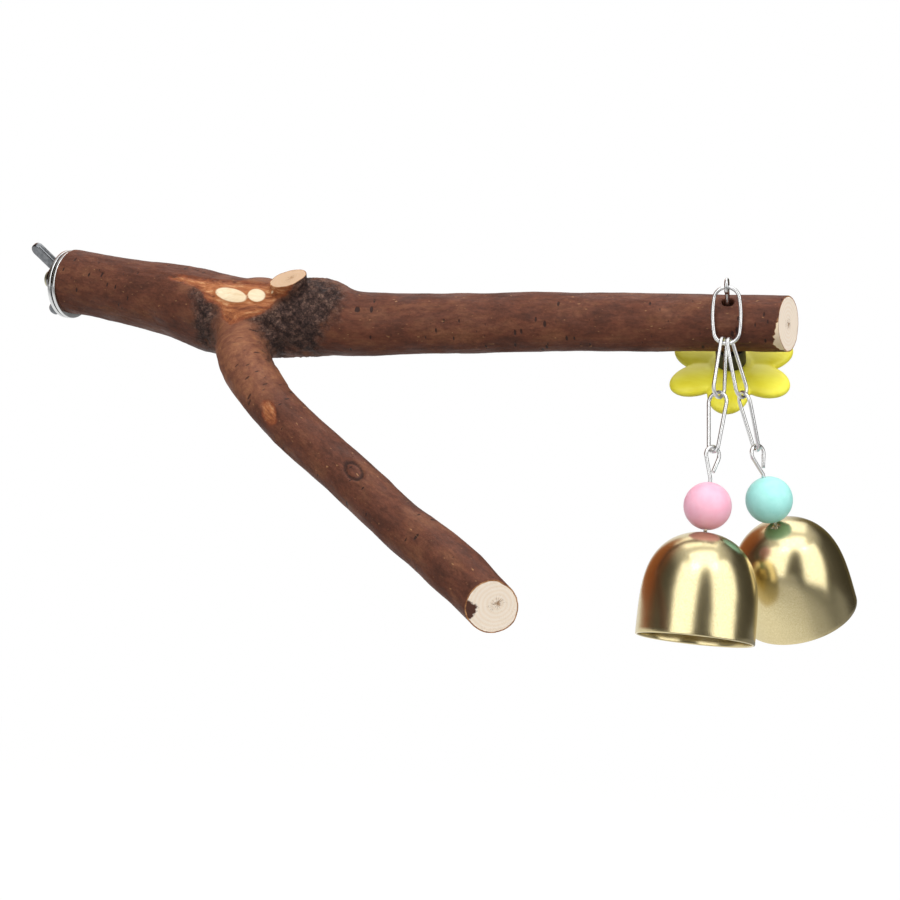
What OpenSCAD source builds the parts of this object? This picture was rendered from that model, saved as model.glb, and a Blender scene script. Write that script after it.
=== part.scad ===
// Bird perch: a natural forked branch clamped to cage wires, with a hanging pair of bells.
// Origin on the stud's axis at the plane of the cage wall, +X into the cage, +Z up.

/* [Branch] */
// Length of the trunk, from its sawn end to the middle of the fork
trunk_l = 86.8; // [78:0.2:96]
// Diameter of the trunk at its sawn end
trunk_d = 24.6; // [22:0.2:26]
// Length of the long arm, from the fork to its sawn end
arm_l = 181; // [165:1:200]
// Diameter of the long arm along its middle
arm_d = 20.2; // [18:0.2:21]
// Length of the front arm, from the fork to its sawn end
front_l = 161.2; // [140:0.2:180]
// Diameter of the front arm along its middle
front_d = 16.3; // [15:0.2:19]
// Heading of the trunk in the plane of the fork
trunk_yaw = -8.1; // [-10:0.1:-6]
// Heading of the long arm in the plane of the fork
arm_yaw = 11.1; // [9:0.1:13]
// Heading of the front arm in the plane of the fork
front_yaw = -39.6; // [-42:0.2:-36]
// Droop of both arms out of the plane of the fork
arm_droop = 5.2; // [4:0.1:6]
// Roll of the plane of the fork about the stud
fork_roll = 43; // [38:0.5:44]

/* [Clamp] */
// Diameter of the stud
stud_d = 6; // [5:0.1:6.2]
// Pitch of the stud's thread
stud_pitch = 1; // [0.8:0.05:1.25]
// Length of the stud outside the cage wall
stud_out = 10.2; // [9.8:0.1:12]
// Length of the stud's plain free end
stud_tip = 1.6; // [1.2:0.1:2]
// Length of the stud inside the trunk
stud_in = 26; // [18:1:34]
// Diameter of each fender washer
washer_d = 25; // [22:0.5:26]
// Thickness of each fender washer
washer_t = 1.3; // [1:0.1:1.6]
// Hole of each fender washer, so they sag on the stud
washer_hole = 8.7; // [6.6:0.1:9]
// Gap between the washers as stored, less than a cage wire
clamp_gap = 0.5; // [0.4:0.1:2]
// Tip-to-tip span of the wing nut
wing_span = 29.5; // [27:0.5:32]
// Height of the wings above the nut's base
wing_h = 11.6; // [11:0.2:16]
// Thickness of a wing
wing_t = 2.6; // [1.8:0.1:2.8]
// Diameter of the wing nut's hub where it meets the washer
hub_d = 11.5; // [10.5:0.1:12.5]
// Height of the wing nut's hub
hub_h = 6.4; // [5.5:0.1:6.6]

/* [Split pin and flower] */
// Diameter of the wire of the split pin
pin_wire = 1.4; // [1.2:0.05:1.5]
// Radius of the eye of the split pin, to the middle of its wire
eye_r = 2; // [1.9:0.05:2.4]
// Height of the middle of the eye above the long arm's axis
eye_rise = 16; // [15.8:0.1:18]
// Distance of the split pin from the long arm's end, as a share of the arm
pin_at_share = 0.893; // [0.87:0.001:0.9]
// Diameter of the spacer over the flower
spacer_d = 10; // [9:0.25:12]
// Distance from the long arm's axis to the flower's top face
flower_drop = 17; // [16:0.25:18]
// Thickness of the flower
flower_t = 5; // [4:0.25:6]
// Radius of the flower to the tips of its petals
flower_r = 22.3; // [20:0.1:22.8]
// Width of a petal
petal_w = 14.2; // [13:0.1:15]

/* [Chain] */
// Diameter of the wire of the links and of the bell wires
link_wire = 1.3; // [1.1:0.05:1.35]
// Outer length of the oval link
oval_l = 19.6; // [19:0.1:22]
// Outer width of the oval link
oval_w = 10.4; // [9.5:0.1:11]
// Outer length of a pear-shaped link
pear_l = 20.9; // [18:0.1:21]
// Outer width of a pear-shaped link at its wide end
pear_w = 8; // [7.4:0.1:8.4]
// Outer width of a pear-shaped link at its narrow end
pear_neck = 4.8; // [4.6:0.1:5.2]
// Gap between pieces that hang in each other
hang_gap = 0.3; // [0.25:0.05:0.4]

/* [Bells] */
// Diameter of a bell at its rim
bell_d = 38; // [34:0.2:39]
// Height of a bell
bell_h = 34.6; // [32:0.2:37]
// Wall of a bell
bell_wall = 0.8; // [0.6:0.05:1.2]
// Diameter of a bead
bead_d = 15.4; // [13:0.1:16]
// Height of the left bell wire's hook above its bead
left_hook_l = 12.3; // [11:0.1:13.5]
// Height of the right bell wire's hook above its bead
right_hook_l = 11.4; // [10.5:0.1:13]
// Outer width of a bell wire's hook
hook_w = 6.8; // [6.4:0.1:7.4]
// Diameter of a clapper's ball
clapper_d = 7; // [5:0.25:8]
// Length of a clapper, from its pivot to the middle of its ball
clapper_l = 19; // [17:0.5:21]

/* [How the bells hang] */
// Lean of the oval link along the arm
oval_lean = 5; // [0:0.5:8]
// Lean of the left chain along the arm
left_lean_along = 0.7; // [0:0.1:2]
// Lean of the left chain towards the front
left_lean_front = 12.2; // [11:0.1:14]
// Lean of the right chain along the arm
right_lean_along = 18.4; // [17.5:0.1:21]
// Lean of the right chain towards the front
right_lean_front = -6.7; // [-8:0.1:-6]
// Lean of the left bell, which tips on its wire, along the arm
left_bell_along = 0.7; // [0:0.1:4]
// Lean of the left bell towards the front
left_bell_front = 12.2; // [8:0.1:16]
// Lean of the right bell along the arm
right_bell_along = 18.8; // [15:0.1:22]
// Lean of the right bell towards the front
right_bell_front = -26; // [-28:0.1:-16]

/* [Hidden] */
$fn = 48;

// Running clearance of a shaft in its hole, on the radius
run_gap = 0.05;
// Clearance of the stud and the pin in the wood, on the radius
wood_gap = 0.1;
// Gap of the spacer under the bark
seat_gap = 0.1;
// How far a cutter runs past what it cuts
over = 1;

// Pitch of the wood thread, and depth and half crest of both threads as shares of their pitch
wood_pitch = 2.4;
thread_depth_share = 0.55;
thread_crest_share = 0.125;
// Sag of a washer that hangs on the stud
washer_sag = (washer_hole - stud_d) / 2 - run_gap;
// Gap of the wing nut behind the rear washer, its place, and the turn of its wings
nut_gap = 0.1;
nut_x = -(clamp_gap + washer_t + nut_gap);
wing_turn = -32;
// Taper of its hub, and its wings' tip and root circles: their size, and the root's place
hub_taper_share = 0.85;
wing_tip_share = 0.2;
wing_root_share = 0.36;
wing_root_out_share = 0.5;
wing_root_up_share = 0.55;

// Hole for the split pin, gap between its legs, and length of its bent tails
pin_hole = 3.4;
pin_leg_gap = 0.1;
pin_tail = 8;
// The long arm's radius at the pin, as a share of its own
arm_seat_share = 0.975;
petals = 6;
// Length of a petal, the width of its tip and the flower's hub, as shares of a petal's width
petal_long_share = 1.4;
petal_tip_share = 0.76;
flower_hub_share = 1.3;

// Thickness of the wire where it bends, and of the drop that closes an eyelet, as shares of the wire
bend_share = 1.02;
weld_share = 1.15;
// Where a stem enters that drop, as a share of the wire
weld_up_share = 0.25;
// The oval link's end arcs, as a share of its half width
oval_end_share = 0.92;
// Where a hook's stem begins and how long its free end is
hook_stem_share = 0.85;
hook_tail_share = 0.68;
// How far the two chains hang either side of the oval link's foot, as a share of a link's grip
chain_apart_share = 0.68;
// Clearance of beads on their wire, on the radius, and of the wire in a bell's crown, where it tips
bead_gap = 0.1;
crown_gap = 0.45;
// Gap between a bead and the crown of its bell
bell_gap = 0.9;
// Radius of the eyelet inside a bell, to the middle of its wire
eyelet_r = 2;
// Ring and wire of a clapper
clapper_wire = 1.1;
clapper_ring_r = 1.7;
// Section of a bell: how round its shoulder is, as a share of its height, and its number of rings
bell_round_share = 0.263;
bell_rings = 24;

// Sides of the trunk and long arm, of the front arm and of the pruned stub
trunk_sides = 24;
front_sides = 20;
stub_sides = 16;
// Rings from one row of a path to the next
row_steps = 3;

// Each row of a path: share of the length along it, shares of the length to the side and up,
// and share of the arm's own radius
trunk_path_shares = [[-0.03, 0, 0, 1], [0.14, 0, 0, 0.99], [0.36, 0.002, 0, 1.025],
    [0.58, 0.001, 0, 1.13], [0.79, -0.022, 0, 1.21], [0.92, -0.02, 0, 1.16]];
arm_path_shares = [[0, 0, 0, 1.45], [0.05, -0.006, 0, 1.34], [0.118, 0.003, 0, 1.4],
    [0.168, -0.009, 0, 1.19], [0.21, -0.013, 0, 1.11], [0.27, -0.0125, 0, 1.07],
    [0.42, -0.0066, 0, 1.028], [0.57, 0, 0, 1.03], [0.71, 0.0015, 0, 1.01],
    [0.87, 0.003, 0, 0.99], [0.95, 0.003, 0, 0.98], [1.04, 0.003, 0, 0.96]];
front_path_shares = [[0, 0, 0, 1.4], [0.02, -0.045, 0, 1.32], [0.1, -0.088, 0, 1.17],
    [0.22, -0.098, 0, 1.05], [0.335, -0.092, 0, 1.035], [0.52, -0.0645, 0, 1.02],
    [0.71, -0.04, 0, 1.01], [0.8, -0.022, 0, 1.06], [0.88, -0.0105, 0, 1.08],
    [0.94, -0.003, 0, 1.03], [1.1, 0.0095, 0, 0.99]];
stub_path_shares = [[0, 0, 0, 1.4], [0.5, 0, 0, 1.15], [0.8, 0, 0, 1], [1.5, 0, 0, 0.92]];
// How far the bark's section departs from round, in two and in three waves
oval_share = 0.02;
wave_share = 0.012;

// The pruned stub over the fork
stub_l = 20;
stub_d = 12;
stub_yaw = 10;
stub_pitch = 60;
stub_at_share = 0.032;
// Heading and climb of the stub's cut face
scar_yaw = 143;
scar_pitch = 78;
// Turn of each sawn face towards the front, and lift of the front arm's face
arm_slant = 16;
front_slant = 20;
front_lift = 16;

// Directions of the branch, first in the plane of the fork and then rolled about the stud
function rolled(v) = [v.x, v.y * cos(fork_roll) - v.z * sin(fork_roll),
    v.y * sin(fork_roll) + v.z * cos(fork_roll)];
function toward(yaw, pitch) = [cos(yaw) * cos(pitch), sin(yaw) * cos(pitch), sin(pitch)];
fork_flat = [washer_t, 0, 0] + trunk_l * toward(trunk_yaw, 0);
arm_flat = toward(arm_yaw, -arm_droop);
front_flat = toward(front_yaw, -arm_droop);
arm_dir = rolled(arm_flat);
front_dir = rolled(front_flat);
arm_heading = atan2(arm_dir.y, arm_dir.x);
arm_climb = asin(arm_dir.z);
pin_at = rolled(fork_flat + pin_at_share * arm_l * arm_flat);
eye_dir = rolled([sin(arm_droop) * cos(arm_yaw), sin(arm_droop) * sin(arm_yaw), cos(arm_droop)]);

// A path's points, smoothed through its rows, each with its radius as a fourth value
function row_at(from, yaw, pitch, length, radius, row) =
    let (a = toward(yaw, pitch), side = toward(yaw + 90, 0), up = cross(a, side))
    concat(from + length * (row[0] * a + row[1] * side + row[2] * up), [row[3] * radius]);
function smooth(p, q, r, s, t) = 0.5 * (2 * q + (r - p) * t + (2 * p - 5 * q + 4 * r - s) * t * t
    + (3 * q - p - 3 * r + s) * t * t * t);
function path(rows) = let (n = len(rows) - 1)
    [for (i = [0 : n - 1], k = [0 : row_steps - 1])
        smooth(rows[max(i - 1, 0)], rows[i], rows[i + 1], rows[min(i + 2, n)], k / row_steps),
     rows[n]];
function xyz(p) = [p[0], p[1], p[2]];
function unit(v) = v / norm(v);

// A solid swept along a path, with a slightly uneven section
module bark_tube(points, sides) {
    n = len(points);
    rings = [for (i = [0 : n - 1])
        let (t = unit(xyz(points[min(i + 1, n - 1)]) - xyz(points[max(i - 1, 0)])),
             u = unit(cross([0, 0, 1], t)), v = cross(t, u))
        for (k = [0 : sides - 1])
            let (a = 360 * k / sides,
                 r = points[i][3] * (1 + oval_share * cos(2 * a + 9 * i) + wave_share * cos(3 * a - 7 * i)))
            xyz(points[i]) + r * (cos(a) * u + sin(a) * v)];
    walls = [for (i = [0 : n - 2], k = [0 : sides - 1])
        let (j = (k + 1) % sides, a = i * sides, b = a + sides)
        each [[a + k, b + k, b + j], [a + k, b + j, a + j]]];
    first = [for (k = [1 : sides - 2]) [0, k, k + 1]];
    last = [for (k = [1 : sides - 2]) [0, k + 1, k] + (n - 1) * sides * [1, 1, 1]];
    polyhedron(rings, concat(walls, first, last));
}

// Cuts away everything beyond a sawn face
module sawn_at(point, heading, climb) {
    cut = 3 * trunk_d;
    difference() {
        children();
        translate(point) rotate([0, -climb, heading]) translate([0, -cut / 2, -cut / 2]) cube(cut);
    }
}

module branch_wood() {
    trunk_rows = [for (r = trunk_path_shares)
        row_at([washer_t, 0, 0], trunk_yaw, 0, trunk_l, trunk_d / 2, r)];
    arm_rows = [for (r = arm_path_shares) row_at(fork_flat, arm_yaw, -arm_droop, arm_l, arm_d / 2, r)];
    front_rows = [for (r = front_path_shares)
        row_at(fork_flat, front_yaw, -arm_droop, front_l, front_d / 2, r)];
    stub_from = fork_flat + stub_at_share * arm_l * arm_flat;
    stub_rows = [for (r = stub_path_shares) row_at(stub_from, stub_yaw, stub_pitch, stub_l, stub_d / 2, r)];
    sawn_at(rolled(fork_flat + arm_l * arm_flat), arm_heading - arm_slant, arm_climb)
        sawn_at(rolled(fork_flat + front_l * front_flat),
            atan2(front_dir.y, front_dir.x) - front_slant, asin(front_dir.z) + front_lift)
            rotate([fork_roll, 0, 0]) {
                bark_tube(path(concat(trunk_rows, arm_rows)), trunk_sides);
                bark_tube(path(front_rows), front_sides);
                sawn_at(stub_from + stub_l * toward(stub_yaw, stub_pitch), scar_yaw, scar_pitch)
                    bark_tube(path(stub_rows), stub_sides);
            }
}

module forked_branch() {
    color("sienna") difference() {
        branch_wood();
        translate([washer_t + run_gap - trunk_d, -trunk_d, -trunk_d])
            cube([trunk_d, 2 * trunk_d, 2 * trunk_d]);
        rotate([0, 90, 0]) translate([0, 0, washer_t - over])
            cylinder(d = stud_d + 2 * wood_gap, h = stud_in + over + wood_gap);
        at_pin() translate([0, 0, -arm_d]) cylinder(d = pin_hole, h = 2 * arm_d);
    }
}

// A shaft with ring grooves for its thread, from z = 0 up
module threaded(d, pitch, length) {
    turns = floor(length / pitch);
    depth = thread_depth_share * pitch;
    rotate_extrude() polygon(concat([[0, 0], [d / 2, 0]],
        [for (i = [0 : turns - 1]) each [[d / 2, (i + thread_crest_share) * pitch],
            [d / 2 - depth, (i + 0.5) * pitch], [d / 2, (i + 1 - thread_crest_share) * pitch]]],
        [[d / 2, length], [0, length]]));
}

module hanger_bolt() {
    threaded_out = stud_out - stud_tip;
    color("silver") rotate([0, 90, 0]) {
        translate([0, 0, -stud_out]) cylinder(d = stud_d, h = stud_tip);
        translate([0, 0, stud_tip - stud_out]) intersection() {
            threaded(stud_d, stud_pitch, threaded_out);
            cylinder(d = stud_d, h = threaded_out);
        }
        cylinder(d = stud_d, h = washer_t);
        translate([0, 0, washer_t]) threaded(stud_d, wood_pitch, stud_in);
    }
}

// A fender washer hanging on the stud, its inner face at x
module fender_washer(x) {
    color("gainsboro") translate([x, 0, -washer_sag]) rotate([0, 90, 0]) difference() {
        cylinder(d = washer_d, h = washer_t, $fn = 96);
        translate([0, 0, -over]) cylinder(d = washer_hole, h = washer_t + 2 * over);
    }
}
module front_washer() fender_washer(0);
module rear_washer() fender_washer(-clamp_gap - washer_t);

// The nut's base faces the washer and its wings point away from the cage
module wing_nut() {
    tip_r = wing_tip_share * wing_h;
    color("gainsboro") translate([nut_x, 0, 0]) rotate([0, -90, 0]) rotate([0, 0, wing_turn])
        difference() {
            union() {
                cylinder(d1 = hub_d, d2 = hub_taper_share * hub_d, h = hub_h);
                for (side = [0, 180]) rotate([0, 0, side]) hull() {
                    translate([wing_root_out_share * hub_d, 0, wing_root_up_share * hub_h])
                        rotate([90, 0, 0])
                            cylinder(r = wing_root_share * hub_h, h = wing_t, center = true, $fn = 32);
                    translate([wing_span / 2 - tip_r, 0, wing_h - tip_r]) rotate([90, 0, 0])
                        cylinder(r = tip_r, h = wing_t, center = true, $fn = 32);
                }
            }
            translate([0, 0, -over]) cylinder(d = stud_d + 2 * run_gap, h = wing_h + 2 * over);
        }
}

// Places things in the frame of the split pin: x along the arm, z out through the eye
module at_pin() translate(pin_at) rotate([fork_roll, 0, 0]) rotate([0, arm_droop, arm_yaw]) children();

// The pin: an eye over the bark, two legs through arm, spacer and flower, and two bent tails
module split_pin() {
    leg = (pin_wire + pin_leg_gap) / 2;
    foot = flower_drop + flower_t + hang_gap + pin_wire / 2;
    joint = eye_rise - sqrt(eye_r * eye_r - leg * leg);
    color("silver") at_pin() {
        translate([0, 0, eye_rise]) rotate([0, 90, 0]) rotate_extrude() translate([eye_r, 0])
            circle(d = pin_wire);
        for (side = [-1, 1]) translate([0, side * leg, -foot]) {
            cylinder(d = pin_wire, h = joint + foot);
            sphere(d = pin_wire);
            rotate([-side * 90, 0, 0]) cylinder(d = pin_wire, h = pin_tail);
        }
    }
}

module flower_spacer() {
    top = arm_seat_share * arm_d / 2 + seat_gap;
    color("#262626") at_pin() difference() {
        translate([0, 0, hang_gap - flower_drop]) cylinder(d = spacer_d, h = flower_drop - hang_gap - top);
        translate([0, 0, -flower_drop]) cylinder(d = pin_hole, h = flower_drop);
    }
}

// Six round petals round the pin, two of them along the arm's sides
module flower() {
    tip_d = petal_tip_share * petal_w;
    tip_at = flower_r - tip_d / 2;
    wide_at = flower_r - petal_long_share * petal_w / 2;
    color("gold") at_pin() translate([0, 0, -flower_drop - flower_t]) difference() {
        linear_extrude(flower_t) {
            circle(d = flower_hub_share * petal_w);
            for (k = [0 : petals - 1]) rotate(360 * (k + 0.5) / petals) hull() {
                translate([wide_at, 0]) circle(d = petal_w, $fn = 32);
                translate([tip_at, 0]) circle(d = tip_d, $fn = 32);
            }
        }
        translate([0, 0, -over]) cylinder(d = pin_hole, h = flower_t + 2 * over);
    }
}

// Part of a ring of link wire in the plane x-z, from one angle to the next about its middle
module wire_arc(middle, radius, from, sweep) {
    translate([middle.x, 0, middle.y]) rotate([90, 0, 0]) rotate([0, 0, from])
        rotate_extrude(angle = sweep) translate([radius, 0]) circle(d = link_wire);
}

// A straight of link wire in the plane x-z, from one point to another
module wire_line(a, b) {
    run = b - a;
    translate([a.x, 0, a.y]) rotate([0, atan2(run.x, run.y), 0]) cylinder(d = link_wire, h = norm(run));
}

// A bend where two lengths of link wire run into each other
module wire_bend(at) {
    translate([at.x, 0, at.y]) sphere(d = bend_share * link_wire);
}

// An oval link of four arcs, hanging from z = 0 at the middle of its wire
module oval_link(outer_l, outer_w) {
    half_l = (outer_l - link_wire) / 2;
    half_w = (outer_w - link_wire) / 2;
    end_r = oval_end_share * half_w;
    rise = half_l - end_r;
    side_r = (rise * rise + half_w * half_w - end_r * end_r) / (2 * (half_w - end_r));
    turn = asin(rise / (side_r - end_r));
    translate([0, 0, -half_l]) {
        for (x = [-1, 1], z = [-1, 1])
            wire_bend([x * end_r * cos(turn), z * (rise + end_r * sin(turn))]);
        wire_arc([0, rise], end_r, turn, 180 - 2 * turn);
        wire_arc([0, -rise], end_r, 180 + turn, 180 - 2 * turn);
        wire_arc([half_w - side_r, 0], side_r, -turn, 2 * turn);
        wire_arc([side_r - half_w, 0], side_r, 180 - turn, 2 * turn);
    }
}

// A pear-shaped link of two arcs and two straights, hanging from z = 0 at its narrow end,
// or standing on its head
module pear_link(upside_down = false) {
    neck_r = (pear_neck - link_wire) / 2;
    wide_r = (pear_w - link_wire) / 2;
    apart = pear_run - neck_r - wide_r;
    tilt = asin((wide_r - neck_r) / apart);
    out = [cos(tilt), sin(tilt)];
    top = [0, -neck_r];
    low = [0, -neck_r - apart];
    color("silver") translate([0, 0, upside_down ? -pear_run : 0]) rotate([0, upside_down ? 180 : 0, 0]) {
        wire_arc(top, neck_r, tilt, 180 - 2 * tilt);
        wire_arc(low, wide_r, 180 - tilt, 180 + 2 * tilt);
        for (way = [out, [-out.x, out.y]]) {
            wire_bend(top + neck_r * way);
            wire_line(top + neck_r * way, low + wide_r * way);
            wire_bend(low + wide_r * way);
        }
    }
}

// Where the pieces hang: the oval link first, then both chains from its lower end
arm_along = [cos(arm_heading), sin(arm_heading), 0];
oval_run = oval_l - link_wire;
pear_run = pear_l - link_wire;
grip = link_wire + hang_gap;
oval_top = pin_at + eye_rise * eye_dir + [0, 0, (pin_wire + link_wire) / 2 + hang_gap - eye_r];
oval_foot = oval_top + oval_run * (sin(oval_lean) * arm_along - [0, 0, cos(oval_lean)]);
LEFT = 0;
RIGHT = 1;
lean_along = [left_lean_along, right_lean_along];
lean_front = [left_lean_front, right_lean_front];
// Each chain sits off the middle of the oval's foot, where the foot's curve has risen a little
chain_apart = chain_apart_share * grip;
foot_r = oval_end_share * (oval_w - link_wire) / 2;
foot_rise = foot_r - sqrt(foot_r * foot_r - chain_apart * chain_apart);
chain_top = [for (side = [LEFT, RIGHT])
    oval_foot + [0, 0, foot_rise] - grip * chain_dir(side) + (2 * side - 1) * chain_apart * arm_along];
// Turn of the upper links, lower links and hooks about their chain, from face on to the arm
upper_turn = [64, 64];
lower_turn = [-27, -56];
hook_turn = [46, 50];
hook_l = [left_hook_l, right_hook_l];
// Heights along a chain, down from its top
lower_top = pear_run - grip;
hook_top = lower_top + pear_run - grip;
bead_top = [for (l = hook_l) hook_top + l - link_wire / 2];
bell_top = [for (t = bead_top) t + bead_d + bell_gap];
eyelet_top = [for (t = bell_top) t + bell_wall + bell_gap + link_wire / 2];
eyelet_at = [for (t = eyelet_top) t + eyelet_r];
clapper_drop = eyelet_r - (link_wire + clapper_wire) / 2 - hang_gap;

// Lean of the bells themselves
bell_along = [left_bell_along, right_bell_along];
bell_front = [left_bell_front, right_bell_front];

// Direction of a chain, and the turn and lean of a plumb line seen from it
function chain_dir(side) =
    let (a = lean_along[side], f = lean_front[side], h = arm_heading)
    [cos(h) * sin(a) * cos(f) + sin(h) * sin(f), sin(h) * sin(a) * cos(f) - cos(h) * sin(f),
     -cos(a) * cos(f)];
function plumb_turn(side) = atan2(-sin(lean_front[side]) * cos(lean_along[side]), sin(lean_along[side]));
function plumb_lean(side) = acos(cos(lean_front[side]) * cos(lean_along[side]));
function plumb_axis(side) = unit(cross([0, 0, 1], chain_dir(side)));

module on_chain(side, down, turn = 0) {
    translate(chain_top[side]) rotate([0, 0, arm_heading]) rotate([-lean_front[side], -lean_along[side], 0])
        translate([0, 0, -down]) rotate([0, 0, turn]) children();
}

module on_bell(side) {
    on_chain(side, bell_top[side]) rotate([0, lean_along[side], 0]) rotate([lean_front[side], 0, 0])
        rotate([-bell_front[side], -bell_along[side], 0]) children();
}

module top_link() {
    color("silver") translate(oval_top) rotate([0, -oval_lean, arm_heading]) oval_link(oval_l, oval_w);
}
module left_upper_link() on_chain(LEFT, 0, upper_turn[LEFT]) pear_link();
module right_upper_link() on_chain(RIGHT, 0, upper_turn[RIGHT]) pear_link();
module left_lower_link() on_chain(LEFT, lower_top, lower_turn[LEFT]) pear_link(true);
module right_lower_link() on_chain(RIGHT, lower_top, lower_turn[RIGHT]) pear_link(true);

// The bell's wire: an open hook, a straight through bead and crown, and an eyelet for the clapper
module bell_wire(side) {
    hook_r = (hook_w - link_wire) / 2;
    stem_top = hook_stem_share * hook_l[side];
    middle = [0, -hook_r];
    narrow = asin(hook_r / (stem_top - hook_r));
    out = [cos(narrow), -sin(narrow)];
    eyelet_down = eyelet_at[side] - hook_top;
    free = hook_r * out + middle;
    color("silver") on_chain(side, hook_top) {
        rotate([0, 0, hook_turn[side]]) {
            wire_arc(middle, hook_r, -narrow, 180 + 2 * narrow);
            wire_bend([-free.x, free.y]);
            wire_line([-free.x, free.y], [0, -stem_top]);
            wire_bend(free);
            wire_line(free, free + hook_tail_share * ([0, -stem_top] - free));
        }
        wire_bend([0, -stem_top]);
        wire_line([0, -stem_top], [0, eyelet_r - eyelet_down + weld_up_share * link_wire]);
        translate([0, 0, eyelet_r - eyelet_down]) sphere(d = weld_share * link_wire);
        rotate([0, 0, plumb_turn(side)]) wire_arc([0, -eyelet_down], eyelet_r, 0, 360);
    }
}
module left_bell_wire() bell_wire(LEFT);
module right_bell_wire() bell_wire(RIGHT);

module bead(side) on_chain(side, bead_top[side] + bead_d / 2) difference() {
    sphere(d = bead_d);
    cylinder(d = link_wire + 2 * bead_gap, h = bead_d + over, center = true);
}
module left_bead() color("lightpink") bead(LEFT);
module right_bead() color("aquamarine") bead(RIGHT);

// Half a bell's section: the share of its radius at a share of its height below the crown
function bell_share(h) = sqrt(1 - pow(1 - h, 1 / bell_round_share));
function bell_side(r, h) = [for (k = [0 : bell_rings]) let (s = pow(k / bell_rings, 2))
    [r * bell_share(s), -h * s]];
module bell(side) {
    outer = bell_side(bell_d / 2, bell_h);
    inner = bell_side(bell_d / 2 - bell_wall, bell_h - bell_wall);
    n = len(inner) - 1;
    color("darkkhaki") on_bell(side) difference() {
        rotate_extrude() polygon(concat(outer, [for (k = [n : -1 : 0]) inner[k] - [0, bell_wall]]));
        translate([0, 0, -bell_h / 2]) cylinder(d = link_wire + 2 * crown_gap, h = bell_h);
    }
}
module left_bell() bell(LEFT);
module right_bell() bell(RIGHT);

// A ball on a short wire whose ring hangs in the eyelet, plumb inside the leaning bell
module clapper(side) {
    neck = clapper_l - clapper_d / 2 - 2 * clapper_ring_r;
    color("silver") on_chain(side, eyelet_at[side], plumb_turn(side)) rotate([0, plumb_lean(side), 0])
        translate([0, 0, -clapper_drop]) {
            translate([0, 0, -clapper_ring_r]) rotate([0, 90, 0]) rotate_extrude()
                translate([clapper_ring_r, 0]) circle(d = clapper_wire);
            translate([0, 0, -clapper_l]) cylinder(d = clapper_wire, h = clapper_d / 2 + neck);
            translate([0, 0, -clapper_l]) sphere(d = clapper_d);
        }
}
module left_clapper() clapper(LEFT);
module right_clapper() clapper(RIGHT);

forked_branch();
hanger_bolt();
front_washer();
rear_washer();
wing_nut();
split_pin();
flower_spacer();
flower();
top_link();
left_upper_link();
left_lower_link();
left_bell_wire();
left_bead();
left_bell();
left_clapper();
right_upper_link();
right_lower_link();
right_bell_wire();
right_bead();
right_bell();
right_clapper();
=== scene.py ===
"""Bird perch: a forked natural branch with a clamp at one end and a pair of bells at the other."""

import math
from functools import partial

import bmesh
import bpy
import numpy as np
from mathutils import Matrix, Vector, noise


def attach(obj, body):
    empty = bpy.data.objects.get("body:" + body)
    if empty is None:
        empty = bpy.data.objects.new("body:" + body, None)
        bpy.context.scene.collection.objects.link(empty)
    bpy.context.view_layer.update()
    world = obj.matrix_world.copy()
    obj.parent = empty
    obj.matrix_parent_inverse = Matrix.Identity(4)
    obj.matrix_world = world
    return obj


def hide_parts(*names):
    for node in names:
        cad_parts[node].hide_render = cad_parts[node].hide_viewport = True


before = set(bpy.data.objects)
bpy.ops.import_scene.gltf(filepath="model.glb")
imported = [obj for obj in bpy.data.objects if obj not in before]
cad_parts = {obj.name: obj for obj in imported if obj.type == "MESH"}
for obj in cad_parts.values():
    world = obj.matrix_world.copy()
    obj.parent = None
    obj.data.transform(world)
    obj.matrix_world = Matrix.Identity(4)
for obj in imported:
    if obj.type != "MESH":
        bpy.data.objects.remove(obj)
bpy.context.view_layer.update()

MM = 0.001

# Camera of the photograph: its right, up and backward directions, place and lens
RIGHT = Vector((0.9045, 0.4188, 0.0808))
UP = Vector((-0.0953, 0.0138, 0.9954))
BACK = Vector((0.4157, -0.9080, 0.0523))
CAMERA_AT = Vector((440.1, -614.1, -12.3)) * MM
LENS = 80

# Middle lines of the wood in mm, each from the fork outwards
FORK = Vector((87.2, -8.9, -8.3))
TRUNK_LINE = [(87.2, -8.9, -8.3), (68.9, -8.4, -7.9), (51.2, -5.1, -4.8), (32.3, -3.1, -2.9), (13.3, -1.3, -1.2),
              (-1.3, 0.3, 0.3)]
ARM_LINE = [(87.2, -8.9, -8.3), (96.3, -7.9, -8.5), (108, -4.2, -6.6), (124.8, -3, -7.5), (161.8, 5.6, -4.2), (188.1, 11.9, -1.7),
            (241, 23.3, 2.2), (271.1, 29.5, 4.2)]
FRONT_LINE = [(87.2, -8.9, -8.3), (85.1, -14.4, -13.8), (90.6, -23.6, -24), (104.6, -32.4, -34.6), (119.6, -39.4, -43.5),
              (145.6, -49, -56.2), (171.9, -59.2, -69.5), (184.9, -63.5, -75.4), (204.2, -71.2, -85.3), (225.4, -80.6, -97.3)]

# Sawn faces: a point in mm and the way the face looks
ARM_FACE = (Vector((264.12, 27.62, 3.33)), Vector((0.9951, -0.0752, 0.0645)))
FRONT_FACE = (Vector((211.82, -73.54, -87.23)), Vector((0.6535, -0.7175, -0.2410)))
FRONT_NOTCH = Vector((204.9, -79.1, -89.35))
STUB_FACE = (Vector((102.74, -18.31, 5.88)), Vector((-0.166, -0.5756, 0.8007)))
TRUNK_FACE = (Vector((1.35, 0, 0)), Vector((-1, 0, 0)))

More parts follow.
